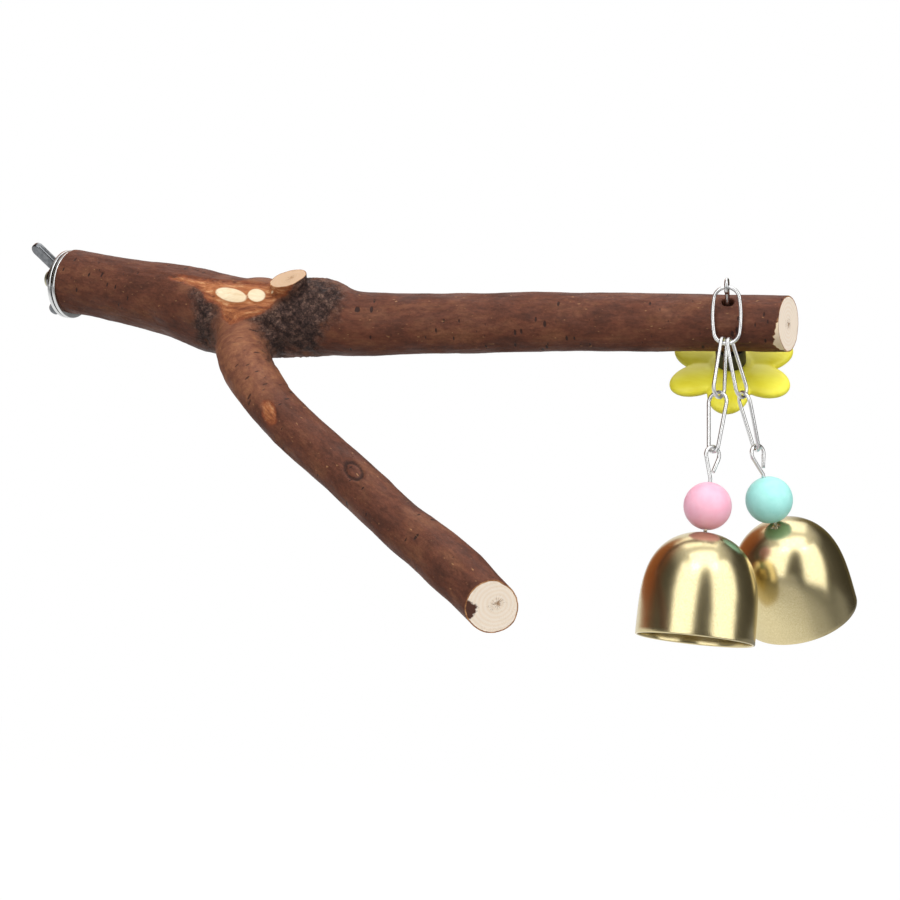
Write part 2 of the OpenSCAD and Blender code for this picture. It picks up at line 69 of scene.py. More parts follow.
# Marks round the fork, in mm to the right and up of it as the photograph looks at it
PEELED_OUTLINE = [(-33.3, 15.2), (-29.3, 16), (-22.6, 14.8), (-16.6, 13.5), (-9.7, 12.9), (-2.7, 12.2), (1.8, 11.6), (5.8, 13.1),
                  (9.6, 15.2), (13.6, 15.6), (13.2, 11.4), (11.6, 8.4), (9.2, 6.2), (6.7, 5.1), (3.5, 2.4), (0.7, 0.3),
                  (-3.2, -0.8), (-6.5, -1.4), (-9.7, -2.9), (-12.5, -1.1), (-13.4, 1.7), (-14.6, 3.9), (-19.3, 6.3),
                  (-20.3, 8.6), (-22.6, 10.8), (-28.2, 12.8), (-32.6, 14.4)]
LEFT_KNOBBLY_OUTLINE = [(-23.8, 9.3), (-19.9, 6.3), (-14.9, 3.9), (-14.5, 1.1), (-16, -3.2), (-16.2, -8.4), (-17.7, -12.2),
                        (-22.3, -8.2), (-23.3, -0.7), (-22.8, 5.9)]
RIGHT_KNOBBLY_OUTLINE = [(19.8, 13.9), (23.6, 13.4), (28.3, 10.3), (29.3, 6.1), (27.5, 3.3), (25.9, -1.6), (22.1, -4.8),
                         (20, -12.1), (22.4, -14), (9.5, -12.8), (6.7, -17.1), (3.7, -12.4), (1.2, -5.7), (-3.2, -1),
                         (3.5, 2.4), (6.7, 5.1), (9.2, 6.2), (11.6, 8.4), (13.2, 11.4), (13.9, 16.6), (19.6, 17.2)]
# Pruned twigs: middle, half length, half width and slope of the long axis in degrees
PRUNED_OVALS = [((-9.9, 7.6), 6.6, 2.75, -16), ((-0.8, 7.2), 3.5, 2.65, -12), ((4.6, 7.8), 0.9, 0.75, 30)]


# ---------------------------------------------------------------- small tools

def linear(hex_code):
    """An sRGB hex colour as linear RGBA."""
    parts = [int(hex_code[i:i + 2], 16) / 255 for i in (1, 3, 5)]
    return tuple(c / 12.92 if c <= 0.04045 else ((c + 0.055) / 1.055) ** 2.4 for c in parts) + (1.0,)


def add(tree, kind, inputs=(), stops=(), **settings):
    """Adds a shader node with its settings, its inputs (numbers or links) and the stops of its ramp."""
    made = tree.nodes.new("ShaderNode" + kind)
    for name, value in settings.items():
        setattr(made, name, value)
    for name, value in dict(inputs).items():
        if isinstance(value, bpy.types.NodeSocket):
            tree.links.new(value, made.inputs[name])
        else:
            made.inputs[name].default_value = value
    for k, (at, hex_code) in enumerate(stops):
        stop = made.color_ramp.elements[k] if k < 2 else made.color_ramp.elements.new(at)
        stop.position = at
        stop.color = linear(hex_code)
    return made


def surface(name, **sockets):
    """A material with its shader, whose plain numbers sit on the shader's own sockets."""
    material = bpy.data.materials.new(name)
    material.use_nodes = True
    shader = material.node_tree.nodes["Principled BSDF"]
    for socket, value in sockets.items():
        shader.inputs[socket.replace("_", " ")].default_value = value
    return material, material.node_tree, shader


def object_place(tree):
    """A point's own place on the piece, in metres."""
    return add(tree, "TexCoord").outputs["Object"]


def maths(tree, operation, *values):
    return add(tree, "Math", dict(enumerate(values)), operation=operation).outputs[0]


def vector_maths(tree, operation, *values):
    """A vector node's result, which is a number for a length, a distance or a dot product."""
    output = "Value" if operation in ("DOT_PRODUCT", "LENGTH", "DISTANCE") else "Vector"
    return add(tree, "VectorMath", dict(enumerate(values)), operation=operation).outputs[output]


def ranged(tree, value, start, end, low=0.0, high=1.0, soft=False):
    """A value brought from one range to another, evenly or in a soft step."""
    sockets = {"Value": value, "From Min": start, "From Max": end, "To Min": low, "To Max": high}
    return add(tree, "MapRange", sockets, interpolation_type="SMOOTHSTEP" if soft else "LINEAR").outputs["Result"]


def mix(tree, factor, a, b, blend="MIX"):
    return add(tree, "Mix", {"Factor": factor, "A": a, "B": b}, data_type="RGBA", blend_type=blend).outputs["Result"]


def noise_at(tree, vector, scale, detail, rough=0.5):
    sockets = {"Vector": vector, "Scale": scale, "Detail": detail, "Roughness": rough}
    return add(tree, "TexNoise", sockets).outputs["Fac"]


def ramp_of(tree, value, stops):
    return add(tree, "ValToRGB", {"Fac": value}, stops).outputs["Color"]


def tinted(tree, shader, value, stops):
    """Colours a surface by a ramp over a value."""
    tree.links.new(ramp_of(tree, value, stops), shader.inputs["Base Color"])


def bumped(tree, shader, height, strength, distance):
    """Roughens a surface by a height, whose steps are a distance in mm."""
    bump = add(tree, "Bump", {"Height": height, "Strength": strength, "Distance": distance * MM}).outputs["Normal"]
    tree.links.new(bump, shader.inputs["Normal"])


def as_object(name, shape, materials, body, replaces=()):
    """Makes a finished piece of a bmesh, gives it its materials and lets it ride on its body."""
    mesh = bpy.data.meshes.new(name)
    shape.to_mesh(mesh)
    shape.free()
    piece = bpy.data.objects.new(name, mesh)
    bpy.context.scene.collection.objects.link(piece)
    for material in materials:
        mesh.materials.append(material)
    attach(piece, body)
    if replaces:
        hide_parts(*replaces)
    return piece


def set_in_place(shape, at, up):
    """Moves a shape made about z in mm to a place in mm, with its z along the given direction, in metres."""
    turn = Vector((0, 0, 1)).rotation_difference(Vector(up).normalized()).to_matrix().to_4x4()
    bmesh.ops.transform(shape, verts=shape.verts, matrix=Matrix.Scale(MM, 4) @ Matrix.Translation(Vector(at)) @ turn)


def spun(profile, steps):
    """A closed profile of (radius, height) points in mm, spun once round z."""
    shape = bmesh.new()
    corners = [shape.verts.new((r, 0, z)) for r, z in profile]
    edges = [shape.edges.new((corners[k - 1], corners[k])) for k in range(len(corners))]
    bmesh.ops.spin(shape, geom=corners + edges, cent=(0, 0, 0), axis=(0, 0, 1), angle=math.tau, steps=steps, use_merge=True)
    bmesh.ops.remove_doubles(shape, verts=shape.verts, dist=0.001)
    bmesh.ops.recalc_face_normals(shape, faces=shape.faces)
    for face in shape.faces:
        face.smooth = True
    return shape


def evened(shape, size, passes):
    """The same shape with even faces of a size in mm, smoothed a number of times."""
    mesh = bpy.data.meshes.new("evened")
    shape.to_mesh(mesh)
    shape.free()
    holder = bpy.data.objects.new("evened", mesh)
    bpy.context.scene.collection.objects.link(holder)
    even = holder.modifiers.new("even_faces", "REMESH")
    even.mode = "VOXEL"
    even.voxel_size = size * MM
    mesh = bpy.data.meshes.new_from_object(holder.evaluated_get(bpy.context.evaluated_depsgraph_get()))
    bpy.data.objects.remove(holder)
    shape = bmesh.new()
    shape.from_mesh(mesh)
    bpy.data.meshes.remove(mesh)
    for k in range(passes):
        bmesh.ops.smooth_vert(shape, verts=shape.verts, factor=0.5, use_axis_x=True, use_axis_y=True, use_axis_z=True)
    for face in shape.faces:
        face.smooth = True
    return shape


def arc(centre, radius, start, end, count):
    """Points of an arc, from one angle to the other in degrees."""
    angles = [math.radians(start + (end - start) * k / count) for k in range(count + 1)]
    return [(centre[0] + radius * math.cos(a), centre[1] + radius * math.sin(a)) for a in angles]


def rounded_tube(inner, outer, bottom, top, rounding):
    """Section of a ring or tube whose rims are rounded."""
    r = rounding
    return (arc((outer - r, bottom + r), r, -90, 0, 4) + arc((outer - r, top - r), r, 0, 90, 4)
            + arc((inner + r, top - r), r, 90, 180, 4) + arc((inner + r, bottom + r), r, 180, 270, 4))


# ---------------------------------------------------------------- camera, light and floor

def camera():
    data = bpy.data.cameras.new("photo_camera")
    data.lens = LENS
    data.sensor_width = 36
    data.clip_start = 0.01
    holder = bpy.data.objects.new("photo_camera", data)
    bpy.context.scene.collection.objects.link(holder)
    turn = Matrix((RIGHT, UP, BACK)).transposed().to_quaternion().to_matrix().to_4x4()
    holder.matrix_world = Matrix.Translation(CAMERA_AT) @ turn
    bpy.context.scene.camera = holder
    bpy.context.scene.view_settings.view_transform = "Standard"


STUDIO_MIDDLE = Vector((0.19, -0.01, -0.03))
WHITE = (1, 1, 1, 1)
# The room as metal shows it, once round from behind by way of the left, the camera's side and the right; its brown
# stops at the far left are a painted reflection of the brown branch
ROOM = [(0.015, "#ffffff"), (0.05, "#a8683f"), (0.16, "#8c4f31"), (0.215, "#5a4233"), (0.25, "#4d4a44"),
        (0.76, "#4d4a44"), (0.87, "#3a352a"), (0.95, "#6b603e"), (0.985, "#ffffff")]


def softbox(name, azimuth, elevation, away, width, height, radiance):
    """A soft studio light, placed by its angle from the camera's own direction."""
    ahead = Vector((BACK.x, BACK.y, 0)).normalized()
    aside = Vector((-ahead.y, ahead.x, 0))
    a, e = math.radians(azimuth), math.radians(elevation)
    way = (ahead * math.cos(a) + aside * math.sin(a)) * math.cos(e) + Vector((0, 0, math.sin(e)))
    data = bpy.data.lights.new(name, "AREA")
    data.shape = "RECTANGLE"
    data.size = width
    data.size_y = height
    data.energy = radiance * math.pi * width * height
    lamp = bpy.data.objects.new(name, data)
    lamp.location = STUDIO_MIDDLE + way * away
    lamp.rotation_euler = way.to_track_quat("Z", "Y").to_euler()
    bpy.context.scene.collection.objects.link(lamp)


def studio():
    """White room behind and below. Metal shows it dark on the camera's side and brown at the far left, a painted
    reflection of the brown branch."""
    world = bpy.data.worlds.new("studio")
    bpy.context.scene.world = world
    world.use_nodes = True
    tree = world.node_tree
    tree.nodes.clear()
    way = add(tree, "TexCoord").outputs["Generated"]
    height = add(tree, "SeparateXYZ", {0: way}).outputs["Z"]
    front = vector_maths(tree, "DOT_PRODUCT", way, BACK)
    right = vector_maths(tree, "DOT_PRODUCT", way, RIGHT)
    # what metal sees, with the painted brown reflection of the branch at the far left
    room = ramp_of(tree, ranged(tree, maths(tree, "ARCTAN2", right, front), -math.pi, math.pi), ROOM)
    ceiling = ranged(tree, height, 0.6, 0.95, 0.0, 0.75, soft=True)
    seen_in_metal = mix(tree, ceiling, room, WHITE)
    ambient = ranged(tree, height, -1.0, 1.0, 0.02, 0.8)
    rays = add(tree, "LightPath").outputs
    plain = maths(tree, "MAXIMUM", rays["Is Camera Ray"], rays["Is Transmission Ray"])
    lit = mix(tree, rays["Is Glossy Ray"], ambient, seen_in_metal)
    light = mix(tree, plain, lit, WHITE)
    sky = add(tree, "Background", {"Color": light, "Strength": 1.0})
    out = add(tree, "OutputWorld")
    tree.links.new(sky.outputs[0], out.inputs["Surface"])
    softbox("key_softbox", -33, 22, 1.15, 0.95, 1.45, 1.95)
    softbox("side_softbox", 48, 20, 1.15, 1.0, 1.45, 1.9)
    softbox("top_softbox", 180, 62, 1.1, 1.0, 0.8, 1.3)
    softbox("overhead_softbox", 8, 66, 1.1, 1.0, 0.7, 1.7)


FLOOR_AT = -0.30


def floor():
    """Pale studio floor that fades into the white room and keeps the shadow of what hangs above it."""
    material = bpy.data.materials.new("studio_floor_paper")
    material.use_nodes = True
    tree = material.node_tree
    tree.nodes.clear()
    place = add(tree, "TexCoord").outputs["Object"]
    centred = add(tree, "Mapping", {"Vector": place, "Location": (-STUDIO_MIDDLE.x, 0, -FLOOR_AT)}).outputs[0]
    fade = ranged(tree, vector_maths(tree, "LENGTH", centred), 0.35, 0.8, soft=True)
    # metal sees the floor's glow dimmed towards the camera and to the right: painted shade in the floor's reflection
    ahead = ranged(tree, vector_maths(tree, "DOT_PRODUCT", centred, BACK), 0.02, 0.3, 1.0, 0.42, soft=True)
    right = ranged(tree, vector_maths(tree, "DOT_PRODUCT", centred, RIGHT), 0.12, 0.3, 1.0, 0.3, soft=True)
    rays = add(tree, "LightPath").outputs
    in_metal_painted_shade = maths(tree, "MULTIPLY", rays["Is Glossy Ray"], maths(tree, "MULTIPLY", right, ahead))
    seen = maths(tree, "MAXIMUM", rays["Is Camera Ray"], in_metal_painted_shade)
    seen = maths(tree, "MAXIMUM", seen, rays["Is Transmission Ray"])
    near_glow = maths(tree, "MULTIPLY", seen, 0.72)
    paper = add(tree, "BsdfDiffuse", {"Color": linear("#8c8c8a")}).outputs[0]
    glow = add(tree, "Emission", {"Strength": near_glow}).outputs[0]
    near = add(tree, "AddShader", {0: paper, 1: glow}).outputs[0]
    white = add(tree, "Emission", {"Strength": seen}).outputs[0]
    both = add(tree, "MixShader", {0: fade, 1: near, 2: white}).outputs[0]
    out = add(tree, "OutputMaterial")
    tree.links.new(both, out.inputs["Surface"])
    shape = bmesh.new()
    bmesh.ops.create_circle(shape, cap_ends=True, segments=96, radius=4.0)
    bmesh.ops.translate(shape, verts=shape.verts, vec=(STUDIO_MIDDLE.x, 0, FLOOR_AT))
    mesh = bpy.data.meshes.new("studio_floor")
    shape.to_mesh(mesh)
    shape.free()
    mesh.materials.append(material)
    piece = bpy.data.objects.new("studio_floor", mesh)
    bpy.context.scene.collection.objects.link(piece)


# ---------------------------------------------------------------- materials

def bark():
    """Dried bark of a fruit-tree branch: reddish brown, streaked along the wood, with pits and grey flecks.
    Its colour comes from the piece's own attributes, in mm, so that it follows every bend of the branch."""
    material, tree, shader = surface("dried_bark", Roughness=0.62, Specular_IOR_Level=0.2)
    along = add(tree, "Attribute", attribute_name="along").outputs["Vector"]
    block = add(tree, "Mapping", {"Vector": object_place(tree), "Scale": (1000, 1000, 1000)}).outputs[0]

    def grain(step, detail=3.0, rough=0.55, vector=along):
        """Noise whose spots are the given number of mm long and wide."""
        scale = tuple(1 / s for s in step)
        spread = add(tree, "Mapping", {"Vector": vector, "Scale": scale}).outputs[0]
        return noise_at(tree, spread, 1.0, detail, rough)

    ramp, mixed, math_node = partial(ramp_of, tree), partial(mix, tree), partial(maths, tree)

    def edge(name, blur, ragged, step):
        """How far inside a mark a point is, from 0 to 1, with a ragged rim."""
        inside = add(tree, "Attribute", attribute_name=name).outputs["Fac"]
        wobble = math_node("MULTIPLY", math_node("SUBTRACT", grain(step, 3.0), 0.5), ragged)
        return ranged(tree, math_node("ADD", inside, wobble), -blur, blur, soft=True)

    # patches about 16 mm long, streaks about 5 mm long and 2 mm wide, specks under 1 mm
    skin = ramp(grain((16, 7, 7), 5.0, 0.7), [(0.33, "#693e2f"), (0.5, "#824c38"), (0.66, "#9a6246")])
    skin = mixed(0.5, skin, ramp(grain((5, 1.9, 1.9), 4.0, 0.7), [(0.32, "#585858"), (0.68, "#a4a4a4")]), "OVERLAY")
    skin = mixed(0.6, skin, ramp(grain((1.5, 0.9, 0.9), 3.0, 0.7), [(0.3, "#5c5c5c"), (0.7, "#9c9c9c")]), "OVERLAY")
    # pits, drawn out across the wood
    pit_place = add(tree, "Mapping", {"Vector": along, "Scale": (1 / 2.4, 1 / 5.6, 1 / 5.6)}).outputs[0]
    pit = add(tree, "TexVoronoi", {"Vector": pit_place, "Scale": 1.0, "Randomness": 1.0}, feature="F1").outputs["Distance"]
    pit_size = ranged(tree, grain((16, 12, 12), 2.0), 0.42, 0.7, 0.03, 0.22)
    pitted = ranged(tree, math_node("SUBTRACT", pit, pit_size), 0.05, -0.03, soft=True)
    skin = mixed(pitted, skin, linear("#35201a"))
    fleck = ranged(tree, grain((1.9, 0.9, 0.9), 1.5, 0.5), 0.7, 0.78)
    skin = mixed(math_node("MULTIPLY", fleck, 0.6), skin, linear("#b08258"))
    # young bark at the front arm's root is tan
    young = edge("young", 8.0, 16.0, (5, 5, 5))
    lighter = ramp(grain((3, 3, 3), 5.0, 0.7), [(0.34, "#6b4233"), (0.5, "#8f5c42"), (0.66, "#a8734f")])
    skin = mixed(math_node("MULTIPLY", young, 0.5), skin, lighter)
    skin = mixed(math_node("MULTIPLY", math_node("MULTIPLY", young, pitted), 0.7), skin, linear("#35201a"))
    # a healed knot, ringed by a dark fold
    fold = add(tree, "Attribute", attribute_name="knot").outputs["Fac"]
    fold = ranged(tree, math_node("MULTIPLY_ADD", grain((1, 1, 1), 2.0, 0.5, block), 0.9, fold), 1.15, 0.65)
    skin = mixed(math_node("MULTIPLY", fold, 0.85), skin, linear("#2b1813"))
    # knobbly old bark: grey-brown crusts with dark cracks
    old = ramp(grain((2.3, 2.3, 2.3), 6.0, 0.75, block),
               [(0.36, "#2e1f1c"), (0.47, "#4a3630"), (0.57, "#654c42"), (0.72, "#8a7060")])
    bent = add(tree, "TexNoise", {"Vector": block, "Scale": 1 / 1.1, "Detail": 4.0}).outputs["Color"]
    bent = vector_maths(tree, "MULTIPLY_ADD", bent, (3.6, 3.6, 3.6), block)
    gap = add(tree, "TexVoronoi", {"Vector": bent, "Scale": 1 / 1.9}, feature="DISTANCE_TO_EDGE").outputs["Distance"]
    cracked = ranged(tree, gap, 0.16, 0.03, soft=True)
    old = mixed(math_node("MULTIPLY", cracked, 0.6), old, linear("#1a1211"))
    knobbly = edge("knobbly", 3.0, 8.0, (4, 3, 3))
    skin = mixed(knobbly, skin, old)
    # inner bark where the bark is stripped, orange brown
    inner = ramp(grain((7, 1.5, 1.5), 5.0, 0.72), [(0.34, "#6e3b25"), (0.5, "#a5643c"), (0.66, "#c8966a")])
    peeled = edge("peeled", 0.6, 2.6, (3.5, 2.0, 2.0))
    depth = add(tree, "Attribute", attribute_name="peeled").outputs["Fac"]
    middle = ranged(tree, math_node("MULTIPLY_ADD", grain((2, 2, 2), 3.0, 0.6, block), 3.0, depth), 1.4, 3.2)
    skin = mixed(peeled, skin, mixed(middle, linear("#7c4027"), inner))
    # clean cuts of pruned twigs: cream wood in a darker ring
    rim = edge("pruned", 0.55, 1.0, (2, 2, 2))
    cut = add(tree, "Attribute", attribute_name="pruned").outputs["Fac"]
    heart = ranged(tree, cut, 0.15, 0.5, soft=True)
    wood = ramp(grain((3.0, 1.2, 1.2), 3.0, 0.6), [(0.3, "#d6bd97"), (0.7, "#e6d6b8")])
    skin = mixed(rim, skin, mixed(heart, linear("#9a5c33"), wood))
    # bark torn off beside the long arm's sawn end, down to the pale wood
    torn = edge("torn", 0.25, 3.2, (1.6, 1.6, 1.6))
    bare = ranged(tree, torn, 0.75, 1.0)
    skin = mixed(torn, skin, mixed(bare, linear("#bd8b5b"), linear("#ead6b8")))
    tree.links.new(skin, shader.inputs["Base Color"])

    relief = math_node("ADD", math_node("MULTIPLY", grain((5, 1.3, 1.3), 4.0, 0.6), 0.7),
                       math_node("MULTIPLY", grain((1.2, 0.8, 0.8), 3.0, 0.6), 0.5))
    relief = math_node("SUBTRACT", relief, math_node("MULTIPLY", pitted, 0.8))
    crust = math_node("MULTIPLY", grain((1.6, 1.6, 1.6), 5.0, 0.75, block), 2.6)
    crust = math_node("SUBTRACT", crust, math_node("MULTIPLY", cracked, 1.3))
    relief = math_node("ADD", relief, math_node("MULTIPLY", crust, knobbly))
    bumped(tree, shader, relief, 0.75, 0.35)
    tree.links.new(ranged(tree, grain((10, 6, 6)), 0.3, 0.7, 0.5, 0.75), shader.inputs["Roughness"])
    return material


RING_APART = 1.3


def sawn_wood(name, face, notch=None, aged=0.0):
    """Sawn end of the branch: cream sapwood with barely visible year rings 1.3 mm apart, drying cracks from
    the pith and a small tan heart. The pattern is centred on the face and turned square to it. A notch is
    a place in mm where bark has grown into the face. An older cut has turned tan by a share."""
    at, facing = face
    material, tree, shader = surface(name, Roughness=0.72, Specular_IOR_Level=0.25)
    place = object_place(tree)
    turn = facing.rotation_difference(Vector((0, 0, 1))).to_euler()
    moved = vector_maths(tree, "SUBTRACT", place, at * MM)
    turned = add(tree, "Mapping", {"Vector": moved, "Rotation": turn, "Scale": (1000, 1000, 1000)}).outputs[0]
    flat = vector_maths(tree, "MULTIPLY", turned, (1, 1, 0))
    radius = vector_maths(tree, "LENGTH", flat)
    uneven = maths(tree, "ADD", radius, noise_at(tree, flat, 0.22, 3.0))
    rings = maths(tree, "SINE", maths(tree, "MULTIPLY", uneven, math.tau / RING_APART))
    base = ramp_of(tree, ranged(tree, rings, -1.0, 1.0), [(0.0, "#f1dfc9"), (0.6, "#f4e4d1"), (1.0, "#f5e7d6")])
    blotch = noise_at(tree, flat, 0.5, 5.0, 0.75)
    ragged = maths(tree, "MULTIPLY_ADD", blotch, 9.0, uneven)
    base = mix(tree, ranged(tree, ragged, 6.4, 4.6, 0.0, 0.8, soft=True), base, linear("#a87c50"))
    base = mix(tree, ranged(tree, blotch, 0.6, 0.78, 0.0, 0.4), base, linear("#caa277"))
    base = mix(tree, aged, base, linear("#b48a60"))
    parts = add(tree, "SeparateXYZ", {0: flat}).outputs
    angle = maths(tree, "MULTIPLY", maths(tree, "ARCTAN2", parts["Y"], parts["X"]), 1.15)
    ray = add(tree, "CombineXYZ", {"X": angle, "Y": maths(tree, "MULTIPLY", radius, 0.05)}).outputs[0]
    off = maths(tree, "ABSOLUTE", maths(tree, "SUBTRACT", noise_at(tree, ray, 2.4, 2.0), 0.5))
    near = ranged(tree, radius, 0.6, 3.6, 0.014, -0.004)
    crack = ranged(tree, maths(tree, "SUBTRACT", off, near), 0.003, -0.003)
    base = mix(tree, crack, base, linear("#8f6a45"))
    if notch:
        away = vector_maths(tree, "DISTANCE", place, notch * MM)
        reach = maths(tree, "MULTIPLY_ADD", blotch, 0.005, away)
        base = mix(tree, ranged(tree, reach, 0.0057, 0.005), base, linear("#4f2f24"))
    tree.links.new(base, shader.inputs["Base Color"])
    bumped(tree, shader, maths(tree, "SUBTRACT", noise_at(tree, flat, 2.2, 4.0, 0.7), crack), 0.6, 0.25)
    return material


def bark_rim():
    """Cut edge of the bark round a sawn end: tan inner bark, a few tenths of a millimetre thick."""
    material, tree, shader = surface("cut_bark_rim", Roughness=0.75, Specular_IOR_Level=0.2)
    spots = noise_at(tree, object_place(tree), 900.0, 3.0)
    tinted(tree, shader, spots, [(0.35, "#7a4a2c"), (0.65, "#b98a5e")])
    return material


def plated(name, tint, shade, roughness, spot=0.6, depth=0.012):
    """Plated steel: bright zinc or nickel over drawn or pressed steel, with a faint cloudy bloom and fine
    handling marks, which give the reflections soft edges. Spots of the bloom are `spot` mm across."""
    material, tree, shader = surface(name, Metallic=1.0)
    bloom = noise_at(tree, object_place(tree), 1 / (spot * MM), 4.0, 0.6)
    tinted(tree, shader, bloom, [(0.3, shade), (0.7, tint)])
    rough = ranged(tree, bloom, 0.3, 0.7, roughness * 1.3, roughness * 0.8)
    tree.links.new(rough, shader.inputs["Roughness"])
    bumped(tree, shader, bloom, 0.5, depth)
    return material


def brass():
    """Spun brass-coloured bell metal, lacquered: satin reflections with a fine grain of 0.4 mm
    and a slow waviness of some 9 mm left by the spinning."""
    material, tree, shader = surface("satin_brass", Metallic=1.0)
    place = object_place(tree)
    fine = noise_at(tree, place, 1 / (0.4 * MM), 3.0, 0.6)
    slow = noise_at(tree, place, 1 / (9 * MM), 1.0)
    tinted(tree, shader, fine, [(0.3, "#cdbd8d"), (0.7, "#ddcfa6")])
    tree.links.new(ranged(tree, fine, 0.3, 0.7, 0.26, 0.19), shader.inputs["Roughness"])
    bumped(tree, shader, maths(tree, "MULTIPLY_ADD", slow, 14.0, fine), 0.5, 0.02)
    return material


def moulded_bead(name, tint, shade):
    """Moulded acrylic bead: even pastel colour, soft gloss, faint clouding some 3 mm across."""
    material, tree, shader = surface(name, Roughness=0.42, Specular_IOR_Level=0.3, Subsurface_Weight=0.25,
                                     Subsurface_Radius=(1.0, 0.7, 0.7), Subsurface_Scale=1.2 * MM)
    place = object_place(tree)
    tinted(tree, shader, noise_at(tree, place, 1 / (3 * MM), 3.0), [(0.3, shade), (0.7, tint)])
    bumped(tree, shader, noise_at(tree, place, 1 / (0.7 * MM), 2.0), 0.3, 0.01)
    return material


def painted_wood():
    """Turned and painted beech: bright yellow enamel, slightly uneven, the grain just showing through."""
    material, tree, shader = surface("yellow_painted_wood", Roughness=0.42, Specular_IOR_Level=0.45)
    place = object_place(tree)
    stretched = add(tree, "Mapping", {"Vector": place, "Scale": (120, 900, 900)}).outputs[0]
    fibre = noise_at(tree, stretched, 1.0, 4.0, 0.6)
    pool = maths(tree, "MULTIPLY", noise_at(tree, place, 1 / (6 * MM), 2.0), 0.65)
    both = maths(tree, "MULTIPLY_ADD", fibre, 0.35, pool)
    tinted(tree, shader, both, [(0.36, "#e6da30"), (0.62, "#f0e84a")])
    bumped(tree, shader, both, 0.35, 0.12)
    return material


def black_tube():
    """Cut length of extruded black polyethylene tube: dull, with faint draw lines and dust."""
    material, tree, shader = surface("black_polyethylene", Roughness=0.5)
    dust = noise_at(tree, object_place(tree), 1 / (0.9 * MM), 4.0)
    tinted(tree, shader, dust, [(0.35, "#141414"), (0.7, "#2c2b29")])
    bumped(tree, shader, dust, 0.4, 0.05)
    return material


# ---------------------------------------------------------------- the branch

def along_line(points, line):
    """Distance along a middle line, offset from it and distance to it, for each point in mm."""
    line = np.array(line, float)
    best = np.full(len(points), 1e9)
    run = np.zeros(len(points))
    offset = np.zeros_like(points)
    gone = 0.0
    for a, b in zip(line[:-1], line[1:]):
        way = b - a
        length = np.linalg.norm(way)
        t = np.clip((points - a) @ way / length ** 2, 0, 1)
        away = points - (a + t[:, None] * way)
        distance = np.linalg.norm(away, axis=1)
        nearer = distance < best
        best = np.where(nearer, distance, best)
        run = np.where(nearer, gone + t * length, run)
        offset[nearer] = away[nearer]
        gone += length
    return run, offset, best


def inside_outline(spots, outline):
    """Signed distance in mm to a closed outline, positive inside it."""
    corners = np.array(outline, float)
    distance = np.full(len(spots), 1e9)
    inside = np.zeros(len(spots), bool)
    for a, b in zip(corners, np.roll(corners, -1, axis=0)):
        way = b - a
        t = np.clip((spots - a) @ way / (way @ way), 0, 1)
        distance = np.minimum(distance, np.linalg.norm(spots - (a + t[:, None] * way), axis=1))
        crosses = (a[1] > spots[:, 1]) != (b[1] > spots[:, 1])
        at_x = a[0] + (spots[:, 1] - a[1]) * way[0] / (way[1] if abs(way[1]) > 1e-9 else 1e-9)
        inside ^= crosses & (spots[:, 0] < at_x)
    return np.where(inside, distance, -distance)


def inside_oval(spots, middle, half_long, half_wide, slope):
    """Roughly the signed distance in mm to an oval, positive inside it."""
    a = math.radians(slope)
    p = spots - np.array(middle)
    x = (p[:, 0] * math.cos(a) + p[:, 1] * math.sin(a)) / half_long
    y = (p[:, 1] * math.cos(a) - p[:, 0] * math.sin(a)) / half_wide
    return (1 - np.hypot(x, y)) * half_wide


def soft_step(value, low, high):
    t = np.clip((value - low) / (high - low), 0, 1)
    return t * t * (3 - 2 * t)


def saw_off(shape, face, reach, rim, wood, rim_width):
    """Saws an end flat just inside the swept wood's own face, closes it and insets the rim of bark."""
    at, facing = face
    at = (at - facing * 0.03) * MM
    near = {f for f in shape.faces if (f.calc_center_median() - at).length < reach * MM}
    geometry = list(near) + list({e for f in near for e in f.edges}) + list({v for f in near for v in f.verts})
    bmesh.ops.bisect_plane(shape, geom=geometry, dist=1e-7, plane_co=at, plane_no=facing, clear_outer=True)
    open_edges = [e for e in shape.edges if e.is_boundary]
    caps = bmesh.ops.holes_fill(shape, edges=open_edges, sides=0)["faces"]
    inset = bmesh.ops.inset_region(shape, faces=caps, thickness=rim_width * MM, depth=0.0, use_even_offset=False)["faces"]
    for f in inset:
        f.material_index = rim
        f.smooth = False
    for f in caps:
        f.material_index = wood
        f.smooth = False


